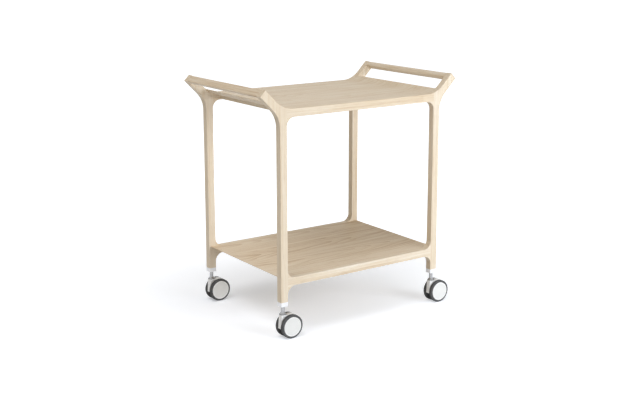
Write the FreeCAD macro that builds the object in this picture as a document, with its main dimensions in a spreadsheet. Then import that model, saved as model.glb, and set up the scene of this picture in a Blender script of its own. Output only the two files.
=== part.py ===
import FreeCAD, Part
import math
import os
from types import SimpleNamespace

import Sketcher

# A two-tier serving trolley: two side frames, a tray with upturned ends, a shelf, two handle bars and
# four twin-wheel castors. X runs along the trolley, Y from front to back and Z up from the floor.

# Driving sizes, in millimetres and degrees
SIZES = {
    # Side frames
    "frame_length": 620.0,
    "frame_width": 460.0,
    "leg_width": 25.0,
    "leg_depth": 23.0,
    "rail_height": 25.0,
    "corner_radius": 27.0,
    "foot_room_share": 0.85,
    "joint_land": 18.0,
    "edge_round": 1.5,
    "end_rail_width": 14.0,
    "end_rail_height": 16.0,
    # Heights of the two surfaces above the floor
    "tray_height": 709.0,
    "shelf_height": 190.0,
    # Handle arms and bars
    "arm_angle": 45.0,
    "arm_width": 26.0,
    "arm_length": 62.0,
    "arm_outer_radius": 80.0,
    "arm_upper_radius": 90.0,
    "arm_start_drop": 57.0,
    "bar_diameter": 26.0,
    "bar_flat_offset": 5.0,
    # Tray and shelf panels
    "panel_thickness": 6.0,
    "panel_edge": 1.5,
    "panel_round": 0.5,
    "lip_angle": 33.0,
    "lip_bevel_angle": 11.0,
    "shelf_setback": 6.5,
    "shelf_lip_length": 36.0,
    "shelf_lip_rise": 3.0,
    "shelf_bevel": 15.0,
    "tongue_thickness": 3.0,
    "tongue_depth": 6.0,
    # Dowels and glued fits
    "dowel_diameter": 8.0,
    "dowel_length": 30.0,
    "dowel_spacing": 12.0,
    "bar_dowel_depth": 9.0,
    "glue_clearance": 0.05,
    "cut_overrun": 2.0,
    # Ferrules, inserts and castor stems
    "ferrule_height": 13.5,
    "insert_diameter": 14.0,
    "insert_length": 30.0,
    "spigot_diameter": 10.0,
    "spigot_length": 41.0,
    "shank_diameter": 12.5,
    "shank_length": 19.3,
    "flange_diameter": 21.0,
    "flange_height": 5.5,
    "flange_rim": 1.0,
    "pivot_diameter": 8.0,
    "pivot_length": 27.0,
    # Castor forks and rings
    "running_clearance": 0.05,
    "thrust_clearance": 0.2,
    "seal_diameter": 22.5,
    "seal_thickness": 1.2,
    "crown_diameter": 22.0,
    "crown_thickness": 1.8,
    "crown_clearance": 0.5,
    "neck_half_width": 9.5,
    "neck_hollow": 1.0,
    "hollow_room_share": 0.6,
    "castor_trail": 23.0,
    "fork_width": 16.0,
    "fork_front_reach": 35.5,
    "fork_skirt_drop": 4.5,
    "fork_rear_angle": 25.0,
    "fork_round": 1.5,
    "fender_rise": 0.6,
    "axle_boss_radius": 11.0,
    "axle_diameter": 8.0,
    "axle_engagement": 8.5,
    # Castor wheels
    "wheel_diameter": 75.0,
    "wheel_gap": 0.5,
    "tyre_width": 11.5,
    "tyre_shoulder": 2.2,
    "rim_radius": 31.0,
    "rim_thickness": 3.5,
    "hub_width": 10.2,
    "hub_web": 4.0,
    "hub_boss_radius": 9.0,
    "cover_radius": 30.5,
    "cover_thickness": 2.0,
    "cover_rim_width": 2.8,
    "cover_rim_rise": 0.8,
    "cover_round": 1.0,
}

# Two points nearer than this are the same point
SAME_PLACE = 1e-5

CORNERS = (
    ("front_left", -1, -1),
    ("front_right", 1, -1),
    ("back_left", -1, 1),
    ("back_right", 1, 1),
)

doc = FreeCAD.newDocument("serving_trolley")
nodes = []


class Size:
    """A number together with the sheet formula that gives it."""

    def __init__(self, value, formula):
        self.value = value
        self.formula = formula

    def __add__(self, other):
        return Size(self.value + other.value, "(%s + %s)" % (self.formula, other.formula))

    def __sub__(self, other):
        return Size(self.value - other.value, "(%s - %s)" % (self.formula, other.formula))

    def __mul__(self, other):
        value, formula = pair(other)
        return Size(self.value * value, "(%s * %s)" % (self.formula, formula))

    def __truediv__(self, other):
        value, formula = pair(other)
        return Size(self.value / value, "(%s / %s)" % (self.formula, formula))

    def __neg__(self):
        return Size(-self.value, "(-1 * %s)" % self.formula)


ZERO = Size(0.0, "0")
HALF_TURN = Size(180.0, "180")


def pair(other):
    """Value and formula of a size or of a plain ratio."""
    if isinstance(other, Size):
        return other.value, other.formula
    return float(other), repr(other)


def sine(angle):
    return Size(math.sin(math.radians(angle.value)), "sin(%s)" % angle.formula)


def cosine(angle):
    return Size(math.cos(math.radians(angle.value)), "cos(%s)" % angle.formula)


def tangent(angle):
    return Size(math.tan(math.radians(angle.value)), "tan(%s)" % angle.formula)


def root(square):
    return Size(math.sqrt(square.value), "sqrt(%s)" % square.formula)


def smaller(one, other):
    return Size(min(one.value, other.value), "min(%s; %s)" % (one.formula, other.formula))


def make_sheet():
    """Write the driving sizes into a spreadsheet and give each one an alias."""
    sheet = doc.addObject("Spreadsheet::Sheet", "Sizes")
    for row, (name, value) in enumerate(SIZES.items(), start=1):
        sheet.set("A%d" % row, name)
        sheet.set("B%d" % row, str(value))
        sheet.setAlias("B%d" % row, name)
    doc.recompute()
    return SimpleNamespace(**{name: Size(value, "Sizes." + name) for name, value in SIZES.items()})


s = make_sheet()

# Places that several pieces share
half_length = s.frame_length / 2
half_width = s.frame_width / 2
leg_inner_x = half_length - s.leg_width
leg_centre_x = half_length - s.leg_width / 2
frame_centre_y = half_width - s.leg_depth / 2
inner_width = s.frame_width - s.leg_depth * 2

# Castor heights, from the floor up
wheel_radius = s.wheel_diameter / 2
crown_bottom = s.wheel_diameter + s.crown_clearance
fork_top = crown_bottom + s.crown_thickness
flange_bottom = fork_top + s.seal_thickness + s.thrust_clearance
flange_top = flange_bottom + s.flange_height
ferrule_bottom = flange_top + s.shank_length
foot_height = ferrule_bottom + s.ferrule_height

# Outer edge of a handle arm: a bend that starts on the leg, then a straight run to the end cut
arm_cos = cosine(s.arm_angle)
arm_sin = sine(s.arm_angle)
bend_start_z = s.tray_height - s.arm_start_drop
bend_end_x = half_length + s.arm_outer_radius - s.arm_outer_radius * arm_sin
bend_end_z = bend_start_z + s.arm_outer_radius * arm_cos
cut_low_x = bend_end_x + s.arm_length * arm_cos
cut_low_z = bend_end_z + s.arm_length * arm_sin
cut_high_x = cut_low_x - s.arm_width * arm_sin
cut_high_z = cut_low_z + s.arm_width * arm_cos
cut_mid_x = (cut_low_x + cut_high_x) / 2
cut_mid_z = (cut_low_z + cut_high_z) / 2

# Upper edge of the arm: the tray's surface curves up into it
sweep_meet_x = cut_high_x - (cut_high_z - s.tray_height) / tangent(s.arm_angle)
sweep_run = s.arm_upper_radius * tangent(s.arm_angle / 2)
sweep_start_x = sweep_meet_x - sweep_run
sweep_end_x = sweep_meet_x + sweep_run * arm_cos
sweep_end_z = s.tray_height + sweep_run * arm_sin
sweep_centre_z = s.tray_height + s.arm_upper_radius

# Where every fillet of a leg has run out, and the seam between its stubs and the rails
stub_x = smaller(leg_inner_x - s.corner_radius, sweep_start_x)
seam_x = stub_x - s.joint_land

# Wheel places along the axle, from the fork's middle outwards
wheel_inner = s.fork_width / 2 + s.wheel_gap
wheel_outer = wheel_inner + s.tyre_width
hub_outer = wheel_inner + s.hub_width


def bind(target, name, size):
    target.setExpression(name, size.formula)


def bind_place(target, x, y, z):
    for letter, size in (("x", x), ("y", y), ("z", z)):
        bind(target, "Placement.Base." + letter, size)


def turned(x, y, z, degrees):
    """Placement at the origin, turned about an axis."""
    return FreeCAD.Placement(FreeCAD.Vector(), FreeCAD.Rotation(FreeCAD.Vector(x, y, z), degrees))


UPRIGHT = turned(0, 0, 1, 0)
ALONG_X = turned(0, 1, 0, 90)
ALONG_Y = turned(1, 0, 0, -90)
AGAINST_Y = turned(1, 0, 0, 90)
FACING_BACK = turned(0, 0, 1, 180)


def new_body(label):
    body = doc.addObject("PartDesign::Body", label)
    body.Label = label
    return body


def set_down(piece, placement, x, y, z):
    """Put a finished piece in its place and list it as a node."""
    piece.Placement = placement
    bind_place(piece, x, y, z)
    nodes.append(piece)


def point(corner):
    return FreeCAD.Vector(corner[0].value, corner[1].value, 0)


def bearing(centre, corner):
    return math.atan2(corner[1].value - centre[1].value, corner[0].value - centre[0].value)


def line(x, y):
    return SimpleNamespace(corner=(x, y), centre=None)


def left_arc(x, y, centre_x, centre_y, radius):
    """Anticlockwise arc to a corner."""
    return SimpleNamespace(corner=(x, y), centre=(centre_x, centre_y), radius=radius, left=True)


def right_arc(x, y, centre_x, centre_y, radius):
    """Clockwise arc to a corner."""
    return SimpleNamespace(corner=(x, y), centre=(centre_x, centre_y), radius=radius, left=False)


def add_edge(sketch, start, step):
    """Draw one step and return its number and the places of its first and last points."""
    if step.centre is None:
        number = sketch.addGeometry(Part.LineSegment(point(start), point(step.corner)), False)
        return number, 1, 2
    circle = Part.Circle(point(step.centre), FreeCAD.Vector(0, 0, 1), step.radius.value)
    ends = [bearing(step.centre, start), bearing(step.centre, step.corner)]
    if not step.left:
        ends.reverse()
    if ends[1] <= ends[0]:
        ends[1] += 2 * math.pi
    number = sketch.addGeometry(Part.ArcOfCircle(circle, ends[0], ends[1]), False)
    fix(sketch, step.radius, "Radius", number)
    return (number, 1, 2) if step.left else (number, 2, 1)


def fix(sketch, size, kind, *places):
    number = sketch.addConstraint(Sketcher.Constraint(kind, *places, size.value))
    bind(sketch, "Constraints[%d]" % number, size)


def outline(body, name, role, steps):
    """Closed sketch on one of the body's origin planes. The first edge starts where the last step ends."""
    sketch = body.newObject("Sketcher::SketchObject", name)
    plane = [feature for feature in body.Origin.OriginFeatures if feature.Role == role][0]
    sketch.AttachmentSupport = [(plane, "")]
    sketch.MapMode = "FlatFace"
    edges = []
    start = steps[-1].corner
    for step in steps:
        edges.append(add_edge(sketch, start, step))
        start = step.corner
    for (number, _, last), (following, first, _) in zip(edges, edges[1:] + edges[:1]):
        sketch.addConstraint(Sketcher.Constraint("Coincident", number, last, following, first))
    for (number, _, last), step in zip(edges, steps):
        for size, kind, axis in zip(step.corner, ("DistanceX", "DistanceY"), (-2, -1)):
            if size is ZERO:
                sketch.addConstraint(Sketcher.Constraint("PointOnObject", number, last, axis))
            else:
                fix(sketch, size, kind, -1, 1, number, last)
    return sketch


def pad(body, name, sketch, length, side):
    feature = body.newObject("PartDesign::Pad", name)
    feature.Profile = sketch
    feature.SideType = side
    bind(feature, "Length", length)


def revolve(body, name, sketch):
    feature = body.newObject("PartDesign::Revolution", name)
    feature.Profile = sketch
    feature.ReferenceAxis = (sketch, ["V_Axis"])
    feature.Angle = HALF_TURN.value * 2


def bore(body, name, diameter, clearance, depth, placement, x, y, z):
    """Round hole of a diameter plus a radial clearance, from a point along the placement's own Z."""
    feature = body.newObject("PartDesign::SubtractiveCylinder", name)
    feature.Placement = placement
    bind(feature, "Radius", diameter / 2 + clearance)
    bind(feature, "Height", depth)
    bind_place(feature, x, y, z)


def add_box(body, name, length, width, height, x, y, z):
    feature = body.newObject("PartDesign::AdditiveBox", name)
    bind(feature, "Length", length)
    bind(feature, "Width", width)
    bind(feature, "Height", height)
    bind_place(feature, x, y, z)


def same(one, other):
    return abs(one - other) < SAME_PLACE


def round_edges(body, name, radius, wanted):
    """Round the edges for which wanted(middle point, direction) is true."""
    doc.recompute()
    base = body.Tip
    chosen = []
    for number, edge in enumerate(base.Shape.Edges, start=1):
        middle_parameter = (edge.FirstParameter + edge.LastParameter) / 2
        if wanted(edge.valueAt(middle_parameter), edge.tangentAt(middle_parameter)):
            chosen.append("Edge%d" % number)
    feature = body.newObject("PartDesign::Fillet", name)
    feature.Base = (base, chosen)
    bind(feature, "Radius", radius)


def leg_outline():
    """Leg, handle arm and the stubs that the two rails join, seen from the front with the arm on the right."""
    lower_top = s.shelf_height
    lower_under = s.shelf_height - s.rail_height
    upper_under = s.tray_height - s.rail_height
    radius = s.corner_radius
    foot_radius = smaller(radius, (lower_under - foot_height) * s.foot_room_share)
    return [
        line(half_length, foot_height),
        line(half_length, bend_start_z),
        right_arc(bend_end_x, bend_end_z, half_length + s.arm_outer_radius, bend_start_z, s.arm_outer_radius),
        line(cut_low_x, cut_low_z),
        line(cut_high_x, cut_high_z),
        line(sweep_end_x, sweep_end_z),
        right_arc(sweep_start_x, s.tray_height, sweep_start_x, sweep_centre_z, s.arm_upper_radius),
        line(seam_x, s.tray_height),
        line(seam_x, upper_under),
        line(leg_inner_x - radius, upper_under),
        right_arc(leg_inner_x, upper_under - radius, leg_inner_x - radius, upper_under - radius, radius),
        line(leg_inner_x, lower_top + radius),
        right_arc(leg_inner_x - radius, lower_top, leg_inner_x - radius, lower_top + radius, radius),
        line(seam_x, lower_top),
        line(seam_x, lower_under),
        line(leg_inner_x - foot_radius, lower_under),
        right_arc(leg_inner_x, lower_under - foot_radius,
                  leg_inner_x - foot_radius, lower_under - foot_radius, foot_radius),
        line(leg_inner_x, foot_height),
    ]


def dowel_heights(rail_top):
    """Heights of the two dowels in a rail's end."""
    middle = rail_top - s.rail_height / 2
    return (middle - s.dowel_spacing / 2, middle + s.dowel_spacing / 2)


def bar_dowel_place():
    """Place of a handle bar's dowel, seen from the front, on the right."""
    x = cut_mid_x - s.bar_dowel_depth * arm_cos
    z = cut_mid_z - s.bar_dowel_depth * arm_sin
    return x, z


def make_leg(name, side_x, side_y):
    """A leg is made with its arm towards +X and turned round for the left end."""
    body = new_body(name + "_leg")
    pad(body, "leg_shape", outline(body, "leg_sketch", "XZ_Plane", leg_outline()), s.leg_depth, "Symmetric")
    half_depth = s.leg_depth.value / 2
    cut_distance = cut_low_x.value * arm_cos.value + cut_low_z.value * arm_sin.value

    def on_big_face(middle, direction):
        if not same(abs(middle.y), half_depth) or not same(direction.y, 0):
            return False
        at_seam = same(middle.x, seam_x.value)
        at_foot = same(middle.z, foot_height.value)
        at_cut = same(middle.x * arm_cos.value + middle.z * arm_sin.value, cut_distance)
        return not (at_seam or at_foot or at_cut)

    round_edges(body, "leg_rounding", s.edge_round, on_big_face)
    depth = s.dowel_length / 2 + s.cut_overrun
    for level, rail_top in (("upper", s.tray_height), ("lower", s.shelf_height)):
        for height in dowel_heights(rail_top):
            bore(body, level + "_dowel_hole", s.dowel_diameter, s.glue_clearance, depth, ALONG_X,
                 seam_x - s.cut_overrun, ZERO, height)
    bore(body, "insert_hole", s.insert_diameter, s.glue_clearance, s.insert_length + s.cut_overrun, UPRIGHT,
         leg_centre_x, ZERO, foot_height - s.cut_overrun)
    dowel_x, dowel_z = bar_dowel_place()
    inner_side = -side_x * side_y
    start_y = s.leg_depth / 2 + s.cut_overrun
    bore(body, "bar_dowel_hole", s.dowel_diameter, s.glue_clearance, depth,
         AGAINST_Y if inner_side > 0 else ALONG_Y, dowel_x, start_y * inner_side, dowel_z)
    placement = UPRIGHT if side_x > 0 else FACING_BACK
    set_down(body, placement, ZERO, frame_centre_y * side_y, ZERO)


def make_rail(name, rail_top, side_y):
    """A rail with a groove for the panel's tongue. It is made for the front and turned round for the back."""
    body = new_body(name)
    half_depth = s.leg_depth / 2
    groove_back = half_depth - s.tongue_depth - s.glue_clearance
    groove_high = s.tongue_thickness - s.panel_thickness + s.glue_clearance
    groove_low = -s.panel_thickness - s.glue_clearance
    section = [
        line(-half_depth, -s.rail_height),
        line(half_depth, -s.rail_height),
        line(half_depth, groove_low),
        line(groove_back, groove_low),
        line(groove_back, groove_high),
        line(half_depth, groove_high),
        line(half_depth, ZERO),
        line(-half_depth, ZERO),
    ]
    pad(body, "rail_shape", outline(body, "rail_sketch", "YZ_Plane", section), seam_x * 2, "Symmetric")

    def long_corner(middle, direction):
        on_side = same(abs(middle.y), half_depth.value)
        on_top_or_under = same(middle.z, 0) or same(middle.z, -s.rail_height.value)
        return on_side and on_top_or_under and same(abs(direction.x), 1)

    round_edges(body, "rail_rounding", s.edge_round, long_corner)
    depth = s.dowel_length / 2 + s.cut_overrun
    for height in dowel_heights(ZERO):
        bore(body, "right_dowel_hole", s.dowel_diameter, s.glue_clearance, depth, ALONG_X,
             seam_x - s.dowel_length / 2, ZERO, height)
        bore(body, "left_dowel_hole", s.dowel_diameter, s.glue_clearance, depth, ALONG_X,
             -seam_x - s.cut_overrun, ZERO, height)
    placement = UPRIGHT if side_y < 0 else FACING_BACK
    set_down(body, placement, ZERO, frame_centre_y * side_y, rail_top)


def add_tongues(body, top):
    """Tongues on a panel's two long edges, as long as the rails that they enter."""
    length = (seam_x - s.glue_clearance) * 2
    start_x = s.glue_clearance - seam_x
    low = top - s.panel_thickness
    add_box(body, "front_tongue", length, s.tongue_depth, s.tongue_thickness,
            start_x, -inner_width / 2 - s.tongue_depth, low)
    add_box(body, "back_tongue", length, s.tongue_depth, s.tongue_thickness, start_x, inner_width / 2, low)


def sweep_point(radius, angle):
    """Point on a circle about the sweep's centre, at an angle from straight down."""
    return sweep_start_x + radius * sine(angle), sweep_centre_z - radius * cosine(angle)


def panel_profile(start_x, top_z, radius, high, low, bevel):
    """Flat panel whose ends curve up. The corners high, low and bevel are the right end's."""
    centre_z = top_z + radius
    under = radius + s.panel_thickness
    under_z = top_z - s.panel_thickness
    return [
        line(start_x, under_z),
        left_arc(bevel[0], bevel[1], start_x, centre_z, under),
        line(low[0], low[1]),
        line(high[0], high[1]),
        right_arc(start_x, top_z, start_x, centre_z, radius),
        line(-start_x, top_z),
        right_arc(-high[0], high[1], -start_x, centre_z, radius),
        line(-low[0], low[1]),
        line(-bevel[0], bevel[1]),
        left_arc(-start_x, under_z, -start_x, centre_z, under),
    ]


def make_panel(name, top_z, profile, end_x):
    """Panel of one profile between the side frames, with rounded ends and tongues."""
    body = new_body(name)
    pad(body, name + "_shape", outline(body, name + "_sketch", "XZ_Plane", profile), inner_width, "Symmetric")

    def end_edge(middle, direction):
        return same(abs(direction.y), 1) and abs(middle.x) > end_x.value - SAME_PLACE

    round_edges(body, name + "_rounding", s.panel_round, end_edge)
    add_tongues(body, top_z)
    set_down(body, UPRIGHT, ZERO, ZERO, ZERO)


def make_tray():
    """Panel whose ends curve up, flush with the upper edges of the arms, and are bevelled underneath."""
    upper = s.arm_upper_radius
    high = sweep_point(upper, s.lip_angle)
    low = sweep_point(upper + s.panel_edge, s.lip_angle)
    bevel = sweep_point(upper + s.panel_thickness, s.lip_angle - s.lip_bevel_angle)
    profile = panel_profile(sweep_start_x, s.tray_height, upper, high, low, bevel)
    make_panel("top_tray", s.tray_height, profile, high[0])


def make_shelf():
    """Panel that stops a little short of the legs' outer faces, with gently rising ends."""
    end_x = half_length - s.shelf_setback
    start_x = end_x - s.shelf_lip_length
    rise = s.shelf_lip_rise
    radius = (s.shelf_lip_length * s.shelf_lip_length + rise * rise) / rise / 2
    under = radius + s.panel_thickness
    bevel_run = s.shelf_lip_length - s.shelf_bevel
    bevel_z = s.shelf_height + radius - root(under * under - bevel_run * bevel_run)
    high = (end_x, s.shelf_height + rise)
    low = (end_x, s.shelf_height + rise - s.panel_edge)
    bevel = (end_x - s.shelf_bevel, bevel_z)
    profile = panel_profile(start_x, s.shelf_height, radius, high, low, bevel)
    make_panel("bottom_shelf", s.shelf_height, profile, end_x)


def make_end_rail(name, side_x):
    """Rail under one end of the tray. It is made for the right and turned round for the left."""
    body = new_body(name)
    inner_x = stub_x - s.end_rail_width
    top = s.tray_height - s.panel_thickness
    under = top - s.end_rail_height
    section = [
        line(inner_x, under),
        line(stub_x, under),
        line(stub_x, top),
        line(inner_x, top),
    ]
    pad(body, "end_rail_shape", outline(body, "end_rail_sketch", "XZ_Plane", section), inner_width, "Symmetric")

    def lower_edge(middle, direction):
        return same(abs(direction.y), 1) and same(middle.z, under.value)

    round_edges(body, "end_rail_rounding", s.edge_round, lower_edge)
    set_down(body, UPRIGHT if side_x > 0 else FACING_BACK, ZERO, ZERO, ZERO)


def make_handle_bar(name, side_x):
    """Round bar with a flat that lies flush with the arms' end cuts. The flat faces the bar's own +X."""
    body = new_body(name)
    radius = s.bar_diameter / 2
    chord = root(radius * radius - s.bar_flat_offset * s.bar_flat_offset)
    section = [
        line(s.bar_flat_offset, chord),
        left_arc(s.bar_flat_offset, -chord, ZERO, ZERO, radius),
    ]
    pad(body, "bar_shape", outline(body, "bar_sketch", "XZ_Plane", section), inner_width, "Symmetric")

    def flat_edge(middle, direction):
        return same(abs(direction.y), 1) and same(middle.x, s.bar_flat_offset.value)

    round_edges(body, "bar_rounding", s.edge_round, flat_edge)
    depth = s.dowel_length / 2 + s.cut_overrun
    dowel_x = s.bar_flat_offset - s.bar_dowel_depth
    bore(body, "front_dowel_hole", s.dowel_diameter, s.glue_clearance, depth, ALONG_Y,
         dowel_x, -inner_width / 2 - s.cut_overrun, ZERO)
    bore(body, "back_dowel_hole", s.dowel_diameter, s.glue_clearance, depth, AGAINST_Y,
         dowel_x, inner_width / 2 + s.cut_overrun, ZERO)
    lean = s.arm_angle if side_x > 0 else HALF_TURN - s.arm_angle
    centre_x = cut_mid_x - s.bar_flat_offset * arm_cos
    centre_z = cut_mid_z - s.bar_flat_offset * arm_sin
    set_down(body, turned(0, -1, 0, lean.value), centre_x * side_x, ZERO, centre_z)
    bind(body, "Placement.Rotation.Angle", lean)


def new_cylinder(name, diameter, height, placement, x, y, z):
    cylinder = doc.addObject("Part::Cylinder", name)
    cylinder.Placement = placement
    bind(cylinder, "Radius", diameter / 2)
    bind(cylinder, "Height", height)
    bind_place(cylinder, x, y, z)
    return cylinder


def new_group(label, pieces):
    group = doc.addObject("Part::Compound", label)
    group.Label = label
    group.Links = pieces
    nodes.append(group)


def make_dowels():
    """Two dowels in each end of each rail and one in each end of each handle bar, half in each piece."""
    bar_dowel_x, bar_dowel_z = bar_dowel_place()
    dowels = []
    for name, side_x, side_y in CORNERS:
        start_x = seam_x * side_x - s.dowel_length / 2
        for rail_top in (s.tray_height, s.shelf_height):
            for height in dowel_heights(rail_top):
                dowels.append(new_cylinder(name + "_rail_dowel", s.dowel_diameter, s.dowel_length, ALONG_X,
                                           start_x, frame_centre_y * side_y, height))
        start_y = inner_width / 2 * side_y - s.dowel_length / 2
        dowels.append(new_cylinder(name + "_bar_dowel", s.dowel_diameter, s.dowel_length, ALONG_Y,
                                   bar_dowel_x * side_x, start_y, bar_dowel_z))
    new_group("joint_dowels", dowels)


def make_inserts():
    """Sleeves in the legs that the castor stems' spigots enter."""
    inserts = []
    for name, side_x, side_y in CORNERS:
        x = leg_centre_x * side_x
        y = frame_centre_y * side_y
        sleeve = new_cylinder(name + "_sleeve", s.insert_diameter, s.insert_length, UPRIGHT, x, y, foot_height)
        hole = new_cylinder(name + "_sleeve_hole", s.spigot_diameter + s.glue_clearance * 2,
                            s.insert_length + s.cut_overrun * 2, UPRIGHT, x, y, foot_height - s.cut_overrun)
        insert = doc.addObject("Part::Cut", name + "_insert")
        insert.Base = sleeve
        insert.Tool = hole
        inserts.append(insert)
    new_group("stem_inserts", inserts)


def make_ferrule(name, x, y):
    """Metal block with the leg's section, between the leg's foot and the castor."""
    body = new_body(name + "_ferrule")
    section = [
        line(-s.leg_width / 2, -s.leg_depth / 2),
        line(s.leg_width / 2, -s.leg_depth / 2),
        line(s.leg_width / 2, s.leg_depth / 2),
        line(-s.leg_width / 2, s.leg_depth / 2),
    ]
    pad(body, "ferrule_shape", outline(body, "ferrule_sketch", "XY_Plane", section), s.ferrule_height, "One side")
    round_edges(body, "ferrule_rounding", s.edge_round, lambda middle, direction: same(abs(direction.z), 1))
    bore(body, "spigot_hole", s.spigot_diameter, s.glue_clearance, s.ferrule_height + s.cut_overrun * 2, UPRIGHT,
         ZERO, ZERO, -s.cut_overrun)
    set_down(body, UPRIGHT, x, y, ferrule_bottom)


def make_stem(name, x, y):
    """Spigot, shank, flared flange and the pivot that the fork turns on."""
    body = new_body(name + "_castor_stem")
    spigot = s.spigot_diameter / 2
    shank = s.shank_diameter / 2
    flange = s.flange_diameter / 2
    pivot = s.pivot_diameter / 2
    spigot_top = ferrule_bottom + s.spigot_length
    pivot_bottom = flange_bottom - s.pivot_length
    profile = [
        line(pivot, pivot_bottom),
        line(pivot, flange_bottom),
        line(flange, flange_bottom),
        line(flange, flange_bottom + s.flange_rim),
        line(shank, flange_top),
        line(shank, ferrule_bottom),
        line(spigot, ferrule_bottom),
        line(spigot, spigot_top),
        line(ZERO, spigot_top),
        line(ZERO, pivot_bottom),
    ]
    revolve(body, "stem_shape", outline(body, "stem_sketch", "XZ_Plane", profile))
    set_down(body, UPRIGHT, x, y, ZERO)


def make_seal(name, x, y):
    """Thin ring between the fork's crown and the stem's flange."""
    body = new_body(name + "_castor_seal")
    inner = s.pivot_diameter / 2 + s.running_clearance
    outer = s.seal_diameter / 2
    top = fork_top + s.seal_thickness
    profile = [
        line(inner, fork_top),
        line(outer, fork_top),
        line(outer, top),
        line(inner, top),
    ]
    revolve(body, "seal_shape", outline(body, "seal_sketch", "XZ_Plane", profile))
    set_down(body, UPRIGHT, x, y, ZERO)


def touch_point(centre_x, centre_z, radius, from_x, from_z, side):
    """Where a line from a point outside a circle touches it, on the line's right (1) or left (-1)."""
    run = from_x - centre_x
    rise = from_z - centre_z
    square = run * run + rise * rise
    forward = radius * radius / square
    across = radius * root(square - radius * radius) / square * side
    return centre_x + run * forward + rise * across, centre_z + rise * forward - run * across


def fork_outline():
    """Fork seen from the front: neck, fender, boss round the axle and a skirt on the stem's side."""
    axle_x = s.castor_trail
    axle_z = wheel_radius
    boss = s.axle_boss_radius
    fender = wheel_radius + s.fender_rise
    rear_x = axle_x + fender * cosine(s.fork_rear_angle)
    rear_z = axle_z + fender * sine(s.fork_rear_angle)
    skirt_x = axle_x - s.fork_front_reach
    skirt_z = axle_z - s.fork_skirt_drop
    # A small hollow leads from the neck into the fender, and stays under the crown
    neck_run = axle_x - s.neck_half_width
    crown_rise = crown_bottom - axle_z
    hollow_room = (crown_rise * crown_rise - fender * fender + neck_run * neck_run) / (fender + neck_run) / 2
    hollow = smaller(s.neck_hollow, hollow_room * s.hollow_room_share)
    hollow_run = neck_run - hollow
    hollow_rise = root((fender + hollow) * (fender + hollow) - hollow_run * hollow_run)
    meet = fender / (fender + hollow)
    return [
        line(s.neck_half_width, crown_bottom),
        line(s.neck_half_width, axle_z + hollow_rise),
        left_arc(axle_x - hollow_run * meet, axle_z + hollow_rise * meet,
                 axle_x - hollow_run, axle_z + hollow_rise, hollow),
        right_arc(rear_x, rear_z, axle_x, axle_z, fender),
        line(*touch_point(axle_x, axle_z, boss, rear_x, rear_z, 1)),
        right_arc(*touch_point(axle_x, axle_z, boss, skirt_x, skirt_z, -1), axle_x, axle_z, boss),
        line(skirt_x, skirt_z),
        line(-s.neck_half_width, crown_bottom),
    ]


def make_fork(name, x, y):
    """White housing between the two wheels. It turns on the stem's pivot and holds the axle."""
    body = new_body(name + "_castor_fork")
    pad(body, "fork_shape", outline(body, "fork_sketch", "XZ_Plane", fork_outline()), s.fork_width, "Symmetric")
    half_fork = s.fork_width.value / 2

    def on_side(middle, direction):
        at_top = same(middle.z, crown_bottom.value)
        return same(abs(middle.y), half_fork) and same(direction.y, 0) and not at_top

    round_edges(body, "fork_rounding", s.fork_round, on_side)
    crown = body.newObject("PartDesign::AdditiveCylinder", "crown")
    bind(crown, "Radius", s.crown_diameter / 2)
    bind(crown, "Height", s.crown_thickness)
    bind_place(crown, ZERO, ZERO, crown_bottom)
    pivot_room = s.pivot_length - s.seal_thickness - s.thrust_clearance + s.thrust_clearance * 2
    bore(body, "pivot_hole", s.pivot_diameter, s.running_clearance, pivot_room + s.cut_overrun, UPRIGHT,
         ZERO, ZERO, fork_top - pivot_room)
    bore(body, "axle_hole", s.axle_diameter, s.glue_clearance, s.fork_width + s.cut_overrun * 2, ALONG_Y,
         s.castor_trail, -s.fork_width / 2 - s.cut_overrun, wheel_radius)
    set_down(body, UPRIGHT, x, y, ZERO)


def make_axle(name, x, y):
    """Pin held in the fork, with a wheel on each end."""
    reach = wheel_inner + s.axle_engagement
    axle = new_cylinder(name + "_castor_axle", s.axle_diameter, reach * 2, ALONG_Y,
                        x + s.castor_trail, y - reach, wheel_radius)
    axle.Label = name + "_castor_axle"
    nodes.append(axle)


def tyre_profile():
    inner = s.rim_radius + s.glue_clearance
    shoulder = s.tyre_shoulder
    round_x = wheel_radius - shoulder
    return [
        line(round_x, wheel_inner),
        left_arc(wheel_radius, wheel_inner + shoulder, round_x, wheel_inner + shoulder, shoulder),
        line(wheel_radius, wheel_outer - shoulder),
        left_arc(round_x, wheel_outer, round_x, wheel_outer - shoulder, shoulder),
        line(inner, wheel_outer),
        line(inner, wheel_inner),
    ]


def hub_profile():
    """Boss, web and rim, with the hollow on the fork's side."""
    hole = s.axle_diameter / 2 + s.running_clearance
    rim_inner = s.rim_radius - s.rim_thickness
    web = hub_outer - s.hub_web
    return [
        line(s.hub_boss_radius, wheel_inner),
        line(s.hub_boss_radius, web),
        line(rim_inner, web),
        line(rim_inner, wheel_inner),
        line(s.rim_radius, wheel_inner),
        line(s.rim_radius, hub_outer),
        line(hole, hub_outer),
        line(hole, wheel_inner),
    ]


def cover_profile():
    """Disc with a raised, rounded rim."""
    face = hub_outer + s.cover_thickness
    rim_face = face + s.cover_rim_rise
    round_x = s.cover_radius - s.cover_round
    return [
        line(s.cover_radius, hub_outer),
        line(s.cover_radius, rim_face - s.cover_round),
        left_arc(round_x, rim_face, round_x, rim_face - s.cover_round, s.cover_round),
        line(s.cover_radius - s.cover_rim_width, rim_face),
        line(s.cover_radius - s.cover_rim_width - s.cover_rim_rise, face),
        line(ZERO, face),
        line(ZERO, hub_outer),
    ]


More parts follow.
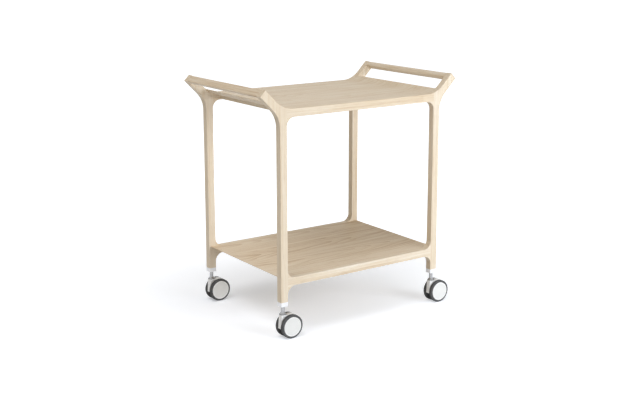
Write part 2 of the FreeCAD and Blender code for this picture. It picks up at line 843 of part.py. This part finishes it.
def make_wheel(name, x, y, side):
    """One wheel of a castor: hub, tyre and cover. The profiles' own Z points from the fork to the cover."""
    placement = ALONG_Y if side > 0 else AGAINST_Y
    for piece, profile in (("hub", hub_profile()), ("tyre", tyre_profile()), ("cover", cover_profile())):
        body = new_body(name + "_" + piece)
        revolve(body, piece + "_shape", outline(body, piece + "_sketch", "XZ_Plane", profile))
        set_down(body, placement, x + s.castor_trail, y, wheel_radius)


def make_castor(name, side_x, side_y):
    x = leg_centre_x * side_x
    y = frame_centre_y * side_y
    make_ferrule(name, x, y)
    make_stem(name, x, y)
    make_seal(name, x, y)
    make_fork(name, x, y)
    make_axle(name, x, y)
    make_wheel(name + "_castor_outer", x, y, side_y)
    make_wheel(name + "_castor_inner", x, y, -side_y)


def make_trolley():
    for name, side_x, side_y in CORNERS:
        make_leg(name, side_x, side_y)
    for side, side_y in (("front", -1), ("back", 1)):
        make_rail(side + "_top_rail", s.tray_height, side_y)
        make_rail(side + "_bottom_rail", s.shelf_height, side_y)
    make_tray()
    make_shelf()
    for side, side_x in (("left", -1), ("right", 1)):
        make_end_rail(side + "_end_rail", side_x)
        make_handle_bar(side + "_handle_bar", side_x)
    make_dowels()
    make_inserts()
    for name, side_x, side_y in CORNERS:
        make_castor(name, side_x, side_y)


def check_and_write():
    """Stop if any object failed or any piece is not a whole solid, then write each piece to its own file."""
    doc.recompute()
    faults = [item.Label for item in doc.Objects if "Invalid" in item.State or "Error" in item.State]
    for node in nodes:
        shape = node.Shape
        wanted = len(node.Links) if node.TypeId == "Part::Compound" else 1
        if shape.isNull() or not shape.isValid() or len(shape.Solids) != wanted:
            faults.append(node.Label)
    if faults:
        raise RuntimeError("failed: " + ", ".join(faults))
    os.makedirs("parts", exist_ok=True)
    for node in nodes:
        node.Shape.exportStep("parts/%s.step" % node.Label)


make_trolley()
check_and_write()
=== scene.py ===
import math

import bpy
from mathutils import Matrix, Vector

# A two-tier serving trolley in pale wood on four twin-wheel castors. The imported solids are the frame;
# this script gives them their finishes and sets the floor, the light and the camera.

WHITE = (1.0, 1.0, 1.0, 1.0)

# Camera, in metres, degrees and millimetres. The small shift, a share of the frame's width, keeps the
# uprights nearly parallel.
CAMERA_PLACE = (-2.0199, -2.8488, 1.1938)
CAMERA_TURN = -35.288
CAMERA_TILT = 11.455
LEVEL_VIEW = 90.0
CAMERA_LENS = 60.843
CAMERA_SHIFT = -0.0625
SENSOR_WIDTH = 36.0

# Floor, in metres. To the camera and in gloss it also glows, more with the distance from a point near its
# middle, so that it runs out into the white background. The weaker glow round that point, a little left of
# and behind the middle, is painted shade that darkens the floor round the trolley.
FLOOR_HALF = 30.0
FLOOR_COLOUR = (0.785, 0.80, 0.825, 1.0)
LIFT_COLOUR = (0.97, 1.0, 1.045, 1.0)
PAINTED_SHADE_CENTRE = (-0.08, 0.17, 0.0)
PAINTED_SHADE_LIFT = 0.22
LIFT_FAR = 0.92
LIFT_END = 1.34

# Light. Each lamp is its place, its power and its colour, in metres and watts.
SKY_COLOUR = (1.05, 1.0, 0.92, 1.0)
SKY_STRENGTH = 0.315
LAMP_AIM = (0.0, 0.0, 0.45)
LAMP_WIDTH = 1.8
LAMPS = {
    "front_lamp": ((1.2, -3.0, 1.0), 76.0, (0.94, 1.0, 1.09)),
    "left_lamp": ((-1.9, -0.7, 3.8), 59.0, (0.99, 1.0, 1.04)),
    "back_lamp": ((0.0, 3.2, 0.6), 32.0, (1.0, 1.0, 1.0)),
}

# Sockets of a Mix node, which has a set for each kind of data
MIX_VECTORS = (4, 5)
MIX_VECTOR_OUT = 1
MIX_COLOURS = (6, 7)
MIX_COLOUR_OUT = 2

# Ways the grain can run: along the trolley, across it or upwards
LENGTHWISE = 0
CROSSWISE = 1
UPWARDS = 2

# Legs: inside this distance from the middle, the grain of a leg's stubs runs along the rails
STUB_EDGE = 0.2848

# Wood: how much longer a fibre is than it is wide, and the layers of the figure. Each layer is a noise:
# its scale, its detail, its roughness and its twist.
GRAIN_STRETCH = 40.0
TONE_NOISE = (9.0, 1.0, 0.5, 0.0)
BAND_NOISE = (34.0, 2.0, 0.55, 0.6)
STREAK_NOISE = (150.0, 3.0, 0.6, 0.3)
FIBRE_NOISE = (900.0, 2.0, 0.6, 0.0)
PORE_NOISE = (1300.0, 1.0, 0.5, 0.0)
NOISE_LOW = 0.3
NOISE_HIGH = 0.7
LAYER_MEAN = 0.5
TONE_SHARE = 0.10
FIBRE_SHARE = 0.16

# Colours of the wood from its darkest to its lightest figure, and its pores and lacquer
WOOD_STOPS = (
    (0.00, (0.36, 0.225, 0.120)),
    (0.30, (0.580, 0.424, 0.264)),
    (0.55, (0.722, 0.594, 0.428)),
    (1.00, (0.860, 0.788, 0.670)),
)
PORE_COLOUR = (0.38, 0.26, 0.155, 1.0)
PORE_START = 0.62
PORE_FULL = 0.72
PORE_SHARE = 0.35
PORE_SINK = 0.7
LACQUER_SHINE = 0.35

# Each wood: its level between dark and light, and the shares of its bands and of its streaks
LEG_FIGURE = (0.62, 0.12, 0.30)
STRAIGHT_FIGURE = (0.63, 0.28, 0.46)
TRAY_FIGURE = (0.64, 0.16, 0.18)
# The shelf's lower level is partly its own darker veneer and partly painted shade from the tray above it
SHELF_FIGURE = (0.55, 0.16, 0.18)

# Veneer of the panels: width of a leaf, and where its growth rings lie, in metres
LEAF_WIDTH = 0.138
HEART_PLACE = 0.060
HEART_DEPTH = 0.055
HEART_SLOPE = 0.045
RING_WIDTH = 0.0062
WANDER_SCALE = 26.0
WANDER_WIDTH = 0.050
SWELL_STRETCH = 0.4
SWELL_SCALE = 5.0
SWELL_DEPTH = 0.045
RING_DETAIL = 2.0

# Lines between the rings: the part of a ring that darkens, how they fade along it, and their shares
LINE_START = 0.45
LINE_END = 0.95
FADE_SCALE = 60.0
TRAY_LINES = 0.26
SHELF_LINES = 0.34

# Wheels, at rest: where their axles are, and the edge of a cover's disc, in metres
LEFT_AXLE_PLACE = -0.2745
RIGHT_AXLE_PLACE = 0.3205
AXLE_HEIGHT = 0.0375
DISC_RADIUS = 0.0268
DISC_EDGE = 0.0010

# Castor finishes: scales of their patterns
BRUSH_SCALE = (60.0, 60.0, 2600.0)
STEM_CLOUD = 220.0
PLASTIC_CLOUD = 35.0
PLASTIC_GRAIN = 2400.0
HUB_GRAIN = 1800.0
SEAL_GRAIN = 1500.0
TYRE_DUST = 60.0
TYRE_GRAIN = 1600.0

# Castor finishes: colours, from the low to the high part of a pattern
FERRULE_STOPS = ((0.2, (0.80, 0.80, 0.81)), (0.8, (0.90, 0.90, 0.91)))
STEM_STOPS = ((0.25, (0.34, 0.34, 0.35)), (0.75, (0.50, 0.50, 0.50)))
FORK_STOPS = ((0.25, (0.86, 0.85, 0.82)), (0.75, (0.90, 0.89, 0.86)))
DISC_STOPS = ((0.25, (0.75, 0.74, 0.705)), (0.75, (0.80, 0.79, 0.755)))
# The rim is paler than the disc: a painted highlight on the raised rim
RIM_HIGHLIGHT_COLOUR = (0.91, 0.90, 0.87, 1.0)
HUB_STOPS = ((0.3, (0.012, 0.012, 0.013)), (0.7, (0.020, 0.020, 0.021)))
SEAL_STOPS = ((0.3, (0.020, 0.020, 0.020)), (0.7, (0.035, 0.035, 0.035)))
TYRE_STOPS = ((0.30, (0.088, 0.088, 0.089)), (0.75, (0.132, 0.131, 0.128)))

CORNERS = ("front_left", "front_right", "back_left", "back_right")
SIDES = ("outer", "inner")


# Small helpers for node trees

def add(tree, kind, values=None, **settings):
    """Adds a node. A value that is a socket is linked, and any other value is set."""
    made = tree.nodes.new(kind)
    for name, value in settings.items():
        setattr(made, name, value)
    for place, value in (values or {}).items():
        socket = made.inputs[place]
        if isinstance(value, bpy.types.NodeSocket):
            tree.links.new(value, socket)
        else:
            socket.default_value = value
    return made


def sum_up(tree, operation, first, second=0.0, third=0.0):
    made = add(tree, "ShaderNodeMath", {0: first, 1: second, 2: third}, operation=operation)
    return made.outputs[0]


def stretch(tree, place, shares):
    """Coordinates multiplied by one share for each direction."""
    made = add(tree, "ShaderNodeVectorMath", {0: place, 1: shares}, operation="MULTIPLY")
    return made.outputs[0]


def noise(tree, place, scale, detail=2.0, rough=0.5, twist=0.0):
    made = add(tree, "ShaderNodeTexNoise",
               {"Vector": place, "Scale": scale, "Detail": detail, "Roughness": rough, "Distortion": twist})
    return made.outputs[0]


def spread(tree, value, low=0.0, high=1.0, out_low=0.0, out_high=1.0):
    made = add(tree, "ShaderNodeMapRange",
               {"Value": value, "From Min": low, "From Max": high, "To Min": out_low, "To Max": out_high},
               clamp=True)
    return made.outputs[0]


def ramp(tree, value, stops):
    made = add(tree, "ShaderNodeValToRGB", {0: value})
    points = made.color_ramp.elements
    for place, colour in stops[len(points):]:
        points.new(place)
    for point, (place, colour) in zip(points, stops):
        point.position = place
        point.color = (*colour, 1.0)
    return made.outputs[0]


def tint(tree, share, first, second):
    low, high = MIX_COLOURS
    made = add(tree, "ShaderNodeMix", {0: share, low: first, high: second}, data_type="RGBA")
    return made.outputs[MIX_COLOUR_OUT]


def bump(tree, height, depth, strength):
    made = add(tree, "ShaderNodeBump", {"Height": height, "Distance": depth, "Strength": strength})
    return made.outputs[0]


def new_finish(name):
    """A material with an empty tree, its surface shader and its object coordinates."""
    finish = bpy.data.materials.new(name)
    finish.use_nodes = True
    tree = finish.node_tree
    tree.nodes.clear()
    shader = add(tree, "ShaderNodeBsdfPrincipled")
    out = add(tree, "ShaderNodeOutputMaterial")
    tree.links.new(shader.outputs[0], out.inputs[0])
    place = add(tree, "ShaderNodeTexCoord").outputs["Object"]
    return finish, tree, shader, place


def join(tree, shader, **sockets):
    for name, socket in sockets.items():
        tree.links.new(socket, shader.inputs[name.replace("_", " ").title()])


# Wood

def along(tree, place, axis):
    """Coordinates that are squeezed along the fibres, so that round noise becomes long grain."""
    shares = [1.0, 1.0, 1.0]
    shares[axis] = 1.0 / GRAIN_STRETCH
    return stretch(tree, place, shares)


def leg_grain(tree, place):
    """Upright grain in a leg and its arm, and grain along the rails in its stubs."""
    parts = add(tree, "ShaderNodeSeparateXYZ", {0: place})
    reach = sum_up(tree, "ABSOLUTE", parts.outputs[0])
    in_stub = sum_up(tree, "LESS_THAN", reach, STUB_EDGE)
    upright, level = MIX_VECTORS
    ways = {0: in_stub, upright: along(tree, place, UPWARDS), level: along(tree, place, LENGTHWISE)}
    made = add(tree, "ShaderNodeMix", ways, data_type="VECTOR")
    return made.outputs[MIX_VECTOR_OUT]


def even_share(tree, place, scale, detail, rough=0.5, twist=0.0):
    """Noise that uses the whole range from 0 to 1."""
    return spread(tree, noise(tree, place, scale, detail, rough, twist), NOISE_LOW, NOISE_HIGH)


def rings(tree, place):
    """Growth rings of sliced veneer, in mirrored leaves.
    They make long arches in the middle of a leaf and close lines at its edges."""
    parts = add(tree, "ShaderNodeSeparateXYZ", {0: place})
    wander = noise(tree, along(tree, place, LENGTHWISE), WANDER_SCALE, RING_DETAIL)
    across = sum_up(tree, "MULTIPLY_ADD", wander, WANDER_WIDTH, parts.outputs[1])
    across = sum_up(tree, "PINGPONG", across, LEAF_WIDTH)
    across = sum_up(tree, "SUBTRACT", across, HEART_PLACE)
    swell = noise(tree, stretch(tree, place, (SWELL_STRETCH, 1.0, 1.0)), SWELL_SCALE, RING_DETAIL)
    deep = sum_up(tree, "MULTIPLY_ADD", parts.outputs[0], HEART_SLOPE, HEART_DEPTH)
    deep = sum_up(tree, "MULTIPLY_ADD", swell, SWELL_DEPTH, deep)
    squares = sum_up(tree, "MULTIPLY_ADD", across, across, sum_up(tree, "MULTIPLY", deep, deep))
    reach = sum_up(tree, "SQRT", squares)
    phase = sum_up(tree, "FRACT", sum_up(tree, "DIVIDE", reach, RING_WIDTH))
    line = spread(tree, phase, LINE_START, LINE_END)
    depth = even_share(tree, along(tree, place, LENGTHWISE), FADE_SCALE, RING_DETAIL)
    return sum_up(tree, "MULTIPLY", line, depth)


def dress_wood(tree, shader, grain, kind, lines=None, line_share=0.0):
    """Tone, bands, streaks, fibres and pores of a pale ring-porous wood under a matt lacquer."""
    level, band_share, streak_share = kind
    streaks = even_share(tree, grain, *STREAK_NOISE)
    fibres = noise(tree, grain, *FIBRE_NOISE)
    pores = spread(tree, noise(tree, grain, *PORE_NOISE), PORE_START, PORE_FULL)
    figure = level - LAYER_MEAN * (TONE_SHARE + band_share + streak_share + FIBRE_SHARE)
    layers = (
        (even_share(tree, grain, *TONE_NOISE), TONE_SHARE),
        (even_share(tree, grain, *BAND_NOISE), band_share),
        (streaks, streak_share),
        (fibres, FIBRE_SHARE),
    )
    for layer, share in layers:
        figure = sum_up(tree, "MULTIPLY_ADD", layer, share, figure)
    if lines:
        figure = sum_up(tree, "MULTIPLY_ADD", lines, -line_share, figure)
    colour = ramp(tree, figure, WOOD_STOPS)
    height = sum_up(tree, "MULTIPLY_ADD", pores, -PORE_SINK, fibres)
    join(tree, shader,
         base_color=tint(tree, sum_up(tree, "MULTIPLY", pores, PORE_SHARE), colour, PORE_COLOUR),
         roughness=spread(tree, streaks, out_low=0.60, out_high=0.48),
         normal=bump(tree, height, depth=0.00025, strength=0.35))
    shader.inputs["Specular IOR Level"].default_value = LACQUER_SHINE


def leg_wood():
    finish, tree, shader, place = new_finish("leg_wood")
    dress_wood(tree, shader, leg_grain(tree, place), LEG_FIGURE)
    return finish


def straight_wood(name, axis):
    finish, tree, shader, place = new_finish(name)
    dress_wood(tree, shader, along(tree, place, axis), STRAIGHT_FIGURE)
    return finish


def panel_wood(name, kind, line_share):
    finish, tree, shader, place = new_finish(name)
    dress_wood(tree, shader, along(tree, place, LENGTHWISE), kind, rings(tree, place), line_share)
    return finish


# Castors

def ferrule_metal():
    """Pale satin metal with fine lines round it."""
    finish, tree, shader, place = new_finish("ferrule_metal")
    grain = noise(tree, stretch(tree, place, BRUSH_SCALE), scale=1.0)
    shader.inputs["Metallic"].default_value = 0.35
    join(tree, shader,
         base_color=ramp(tree, grain, FERRULE_STOPS),
         roughness=spread(tree, grain, low=0.2, high=0.8, out_low=0.36, out_high=0.48),
         normal=bump(tree, grain, depth=0.0001, strength=0.2))
    return finish


def stem_metal():
    """Zinc-plated steel, a little cloudy."""
    finish, tree, shader, place = new_finish("stem_metal")
    cloud = noise(tree, place, STEM_CLOUD, detail=3.0, rough=0.6)
    shader.inputs["Metallic"].default_value = 1.0
    join(tree, shader,
         base_color=ramp(tree, cloud, STEM_STOPS),
         roughness=spread(tree, cloud, low=0.2, high=0.8, out_low=0.28, out_high=0.44),
         normal=bump(tree, cloud, depth=0.0001, strength=0.15))
    return finish


def fork_plastic():
    """White moulded plastic with a gloss and a slight flow pattern."""
    finish, tree, shader, place = new_finish("fork_plastic")
    cloud = noise(tree, place, PLASTIC_CLOUD)
    grain = noise(tree, place, PLASTIC_GRAIN)
    shader.inputs["Coat Weight"].default_value = 0.6
    shader.inputs["Coat Roughness"].default_value = 0.15
    join(tree, shader,
         base_color=ramp(tree, cloud, FORK_STOPS),
         roughness=spread(tree, grain, low=0.25, high=0.75, out_low=0.28, out_high=0.40),
         normal=bump(tree, grain, depth=0.0001, strength=0.10))
    return finish


def wheel_reach(tree, place):
    """Distance from the axle of the wheel that a point belongs to, seen from the front."""
    parts = add(tree, "ShaderNodeSeparateXYZ", {0: place})
    on_left = sum_up(tree, "LESS_THAN", parts.outputs[0], 0.0)
    from_right = sum_up(tree, "SUBTRACT", parts.outputs[0], RIGHT_AXLE_PLACE)
    run = sum_up(tree, "MULTIPLY_ADD", on_left, RIGHT_AXLE_PLACE - LEFT_AXLE_PLACE, from_right)
    rise = sum_up(tree, "SUBTRACT", parts.outputs[2], AXLE_HEIGHT)
    squares = sum_up(tree, "MULTIPLY_ADD", run, run, sum_up(tree, "MULTIPLY", rise, rise))
    return sum_up(tree, "SQRT", squares)


def cover_plastic():
    """White plastic: a finely textured disc inside a polished rim. The rim's paler colour is a painted
    highlight.
    """
    finish, tree, shader, place = new_finish("cover_plastic")
    on_rim = spread(tree, wheel_reach(tree, place), DISC_RADIUS, DISC_RADIUS + DISC_EDGE)
    cloud = noise(tree, place, PLASTIC_CLOUD)
    grain = noise(tree, place, PLASTIC_GRAIN)
    texture = spread(tree, on_rim, out_low=0.6, out_high=0.1)
    # The rim is tinted paler than the disc, a painted highlight; its lower roughness is real
    join(tree, shader,
         base_color=tint(tree, on_rim, ramp(tree, cloud, DISC_STOPS), RIM_HIGHLIGHT_COLOUR),
         roughness=spread(tree, on_rim, out_low=0.42, out_high=0.24),
         normal=bump(tree, sum_up(tree, "MULTIPLY", grain, texture), depth=0.0001, strength=0.2))
    return finish


def hub_plastic():
    """Black plastic with a fine grain."""
    finish, tree, shader, place = new_finish("hub_plastic")
    grain = noise(tree, place, HUB_GRAIN)
    join(tree, shader,
         base_color=ramp(tree, grain, HUB_STOPS),
         roughness=spread(tree, grain, low=0.25, high=0.75, out_low=0.42, out_high=0.56),
         normal=bump(tree, grain, depth=0.0001, strength=0.15))
    return finish


def seal_rubber():
    """Black matt rubber."""
    finish, tree, shader, place = new_finish("seal_rubber")
    grain = noise(tree, place, SEAL_GRAIN)
    join(tree, shader,
         base_color=ramp(tree, grain, SEAL_STOPS),
         roughness=spread(tree, grain, low=0.25, high=0.75, out_low=0.60, out_high=0.75),
         normal=bump(tree, grain, depth=0.0001, strength=0.2))
    return finish


def tyre_rubber():
    """Dark grey soft tread with a little dust."""
    finish, tree, shader, place = new_finish("tyre_rubber")
    dust = noise(tree, place, TYRE_DUST, detail=4.0, rough=0.65)
    grain = noise(tree, place, TYRE_GRAIN)
    shader.inputs["Specular IOR Level"].default_value = 0.05
    join(tree, shader,
         base_color=ramp(tree, dust, TYRE_STOPS),
         roughness=spread(tree, dust, low=0.2, high=0.8, out_low=0.78, out_high=0.92),
         normal=bump(tree, grain, depth=0.0002, strength=0.25))
    return finish


# Which piece has which finish

def dress(nodes, names, finish):
    for name in names:
        slots = nodes[name].data.materials
        slots.clear()
        slots.append(finish)


def dress_frame(nodes):
    dress(nodes, [f"{corner}_leg" for corner in CORNERS], leg_wood())
    rails = [f"{side}_{level}_rail" for side in ("front", "back") for level in ("top", "bottom")]
    dress(nodes, rails, straight_wood("rail_wood", LENGTHWISE))
    cross_pieces = [f"{end}_{kind}" for end in ("left", "right") for kind in ("handle_bar", "end_rail")]
    dress(nodes, cross_pieces + ["joint_dowels"], straight_wood("cross_wood", CROSSWISE))
    dress(nodes, ["top_tray"], panel_wood("tray_wood", TRAY_FIGURE, TRAY_LINES))
    dress(nodes, ["bottom_shelf"], panel_wood("shelf_wood", SHELF_FIGURE, SHELF_LINES))


def dress_castors(nodes):
    dress(nodes, [f"{corner}_ferrule" for corner in CORNERS], ferrule_metal())
    castors = [f"{corner}_castor" for corner in CORNERS]
    wheels = [f"{castor}_{side}" for castor in castors for side in SIDES]
    steel = [f"{castor}_{kind}" for castor in castors for kind in ("stem", "axle")]
    dress(nodes, steel + ["stem_inserts"], stem_metal())
    dress(nodes, [f"{castor}_seal" for castor in castors], seal_rubber())
    dress(nodes, [f"{castor}_fork" for castor in castors], fork_plastic())
    dress(nodes, [f"{wheel}_cover" for wheel in wheels], cover_plastic())
    dress(nodes, [f"{wheel}_hub" for wheel in wheels], hub_plastic())
    dress(nodes, [f"{wheel}_tyre" for wheel in wheels], tyre_rubber())


# Floor, light and camera

def seen_ray(tree):
    """One for rays that look at the background straight, in a reflection or through glass."""
    path = add(tree, "ShaderNodeLightPath")
    straight = sum_up(tree, "ADD", path.outputs["Is Camera Ray"], path.outputs["Is Glossy Ray"])
    both = sum_up(tree, "ADD", straight, path.outputs["Is Transmission Ray"])
    return sum_up(tree, "MINIMUM", both, 1.0)


def floor_paper():
    """Plain paper, with the glow that only seen rays meet. The glow is weaker near the trolley, a painted
    shade round it.
    """
    finish = bpy.data.materials.new("floor_paper")
    finish.use_nodes = True
    tree = finish.node_tree
    tree.nodes.clear()
    paper = add(tree, "ShaderNodeBsdfDiffuse", {"Color": FLOOR_COLOUR})
    place = add(tree, "ShaderNodeTexCoord").outputs["Object"]
    reach = add(tree, "ShaderNodeVectorMath", {0: place, 1: PAINTED_SHADE_CENTRE}, operation="DISTANCE")
    # Weaker glow near the centre: painted shade round the trolley
    rise = spread(tree, reach.outputs["Value"], 0.0, LIFT_END, PAINTED_SHADE_LIFT, LIFT_FAR)
    glow_with_painted_shade = sum_up(tree, "MULTIPLY", seen_ray(tree), rise)
    glow = add(tree, "ShaderNodeEmission", {"Color": LIFT_COLOUR, "Strength": glow_with_painted_shade})
    both = add(tree, "ShaderNodeAddShader", {0: paper.outputs[0], 1: glow.outputs[0]})
    add(tree, "ShaderNodeOutputMaterial", {0: both.outputs[0]})
    return finish


def make_floor():
    corners = [(x * FLOOR_HALF, y * FLOOR_HALF, 0.0) for x, y in ((-1, -1), (1, -1), (1, 1), (-1, 1))]
    mesh = bpy.data.meshes.new("floor")
    mesh.from_pydata(corners, [], [(0, 1, 2, 3)])
    floor = bpy.data.objects.new("floor", mesh)
    bpy.context.scene.collection.objects.link(floor)
    mesh.materials.append(floor_paper())


def make_sky():
    """A weak light from all round, which seen rays meet as plain white."""
    world = bpy.data.worlds.new("studio")
    world.use_nodes = True
    tree = world.node_tree
    tree.nodes.clear()
    light = add(tree, "ShaderNodeBackground", {"Color": SKY_COLOUR, "Strength": SKY_STRENGTH})
    white = add(tree, "ShaderNodeBackground", {"Color": WHITE, "Strength": 1.0})
    sky = add(tree, "ShaderNodeMixShader", {0: seen_ray(tree), 1: light.outputs[0], 2: white.outputs[0]})
    add(tree, "ShaderNodeOutputWorld", {0: sky.outputs[0]})
    bpy.context.scene.world = world


def make_lamps():
    """Wide soft boxes: the main one in front, one above the left handle and a weak one behind.
    Gloss shows only the white room, so no view has a glare."""
    for name, (place, power, colour) in LAMPS.items():
        data = bpy.data.lights.new(name, "AREA")
        data.size = LAMP_WIDTH
        data.energy = power
        data.color = colour
        lamp = bpy.data.objects.new(name, data)
        lamp.location = place
        lamp.rotation_euler = (Vector(place) - Vector(LAMP_AIM)).to_track_quat("Z", "Y").to_euler()
        lamp.visible_camera = False
        lamp.visible_glossy = False
        bpy.context.scene.collection.objects.link(lamp)


def make_camera():
    data = bpy.data.cameras.new("camera")
    data.sensor_width = SENSOR_WIDTH
    data.lens = CAMERA_LENS
    data.shift_y = CAMERA_SHIFT
    camera = bpy.data.objects.new("camera", data)
    camera.location = CAMERA_PLACE
    camera.rotation_euler = (math.radians(LEVEL_VIEW - CAMERA_TILT), 0.0, math.radians(CAMERA_TURN))
    bpy.context.scene.collection.objects.link(camera)
    bpy.context.scene.camera = camera


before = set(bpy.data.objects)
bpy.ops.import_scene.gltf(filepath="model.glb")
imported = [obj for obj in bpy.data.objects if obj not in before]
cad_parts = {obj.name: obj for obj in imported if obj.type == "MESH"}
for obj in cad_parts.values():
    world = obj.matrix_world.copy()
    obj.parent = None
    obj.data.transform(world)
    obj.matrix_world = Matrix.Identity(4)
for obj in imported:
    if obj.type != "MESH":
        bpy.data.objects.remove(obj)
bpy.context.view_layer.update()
bpy.context.scene.view_settings.view_transform = "Standard"
dress_frame(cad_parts)
dress_castors(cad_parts)
make_floor()
make_sky()
make_lamps()
make_camera()
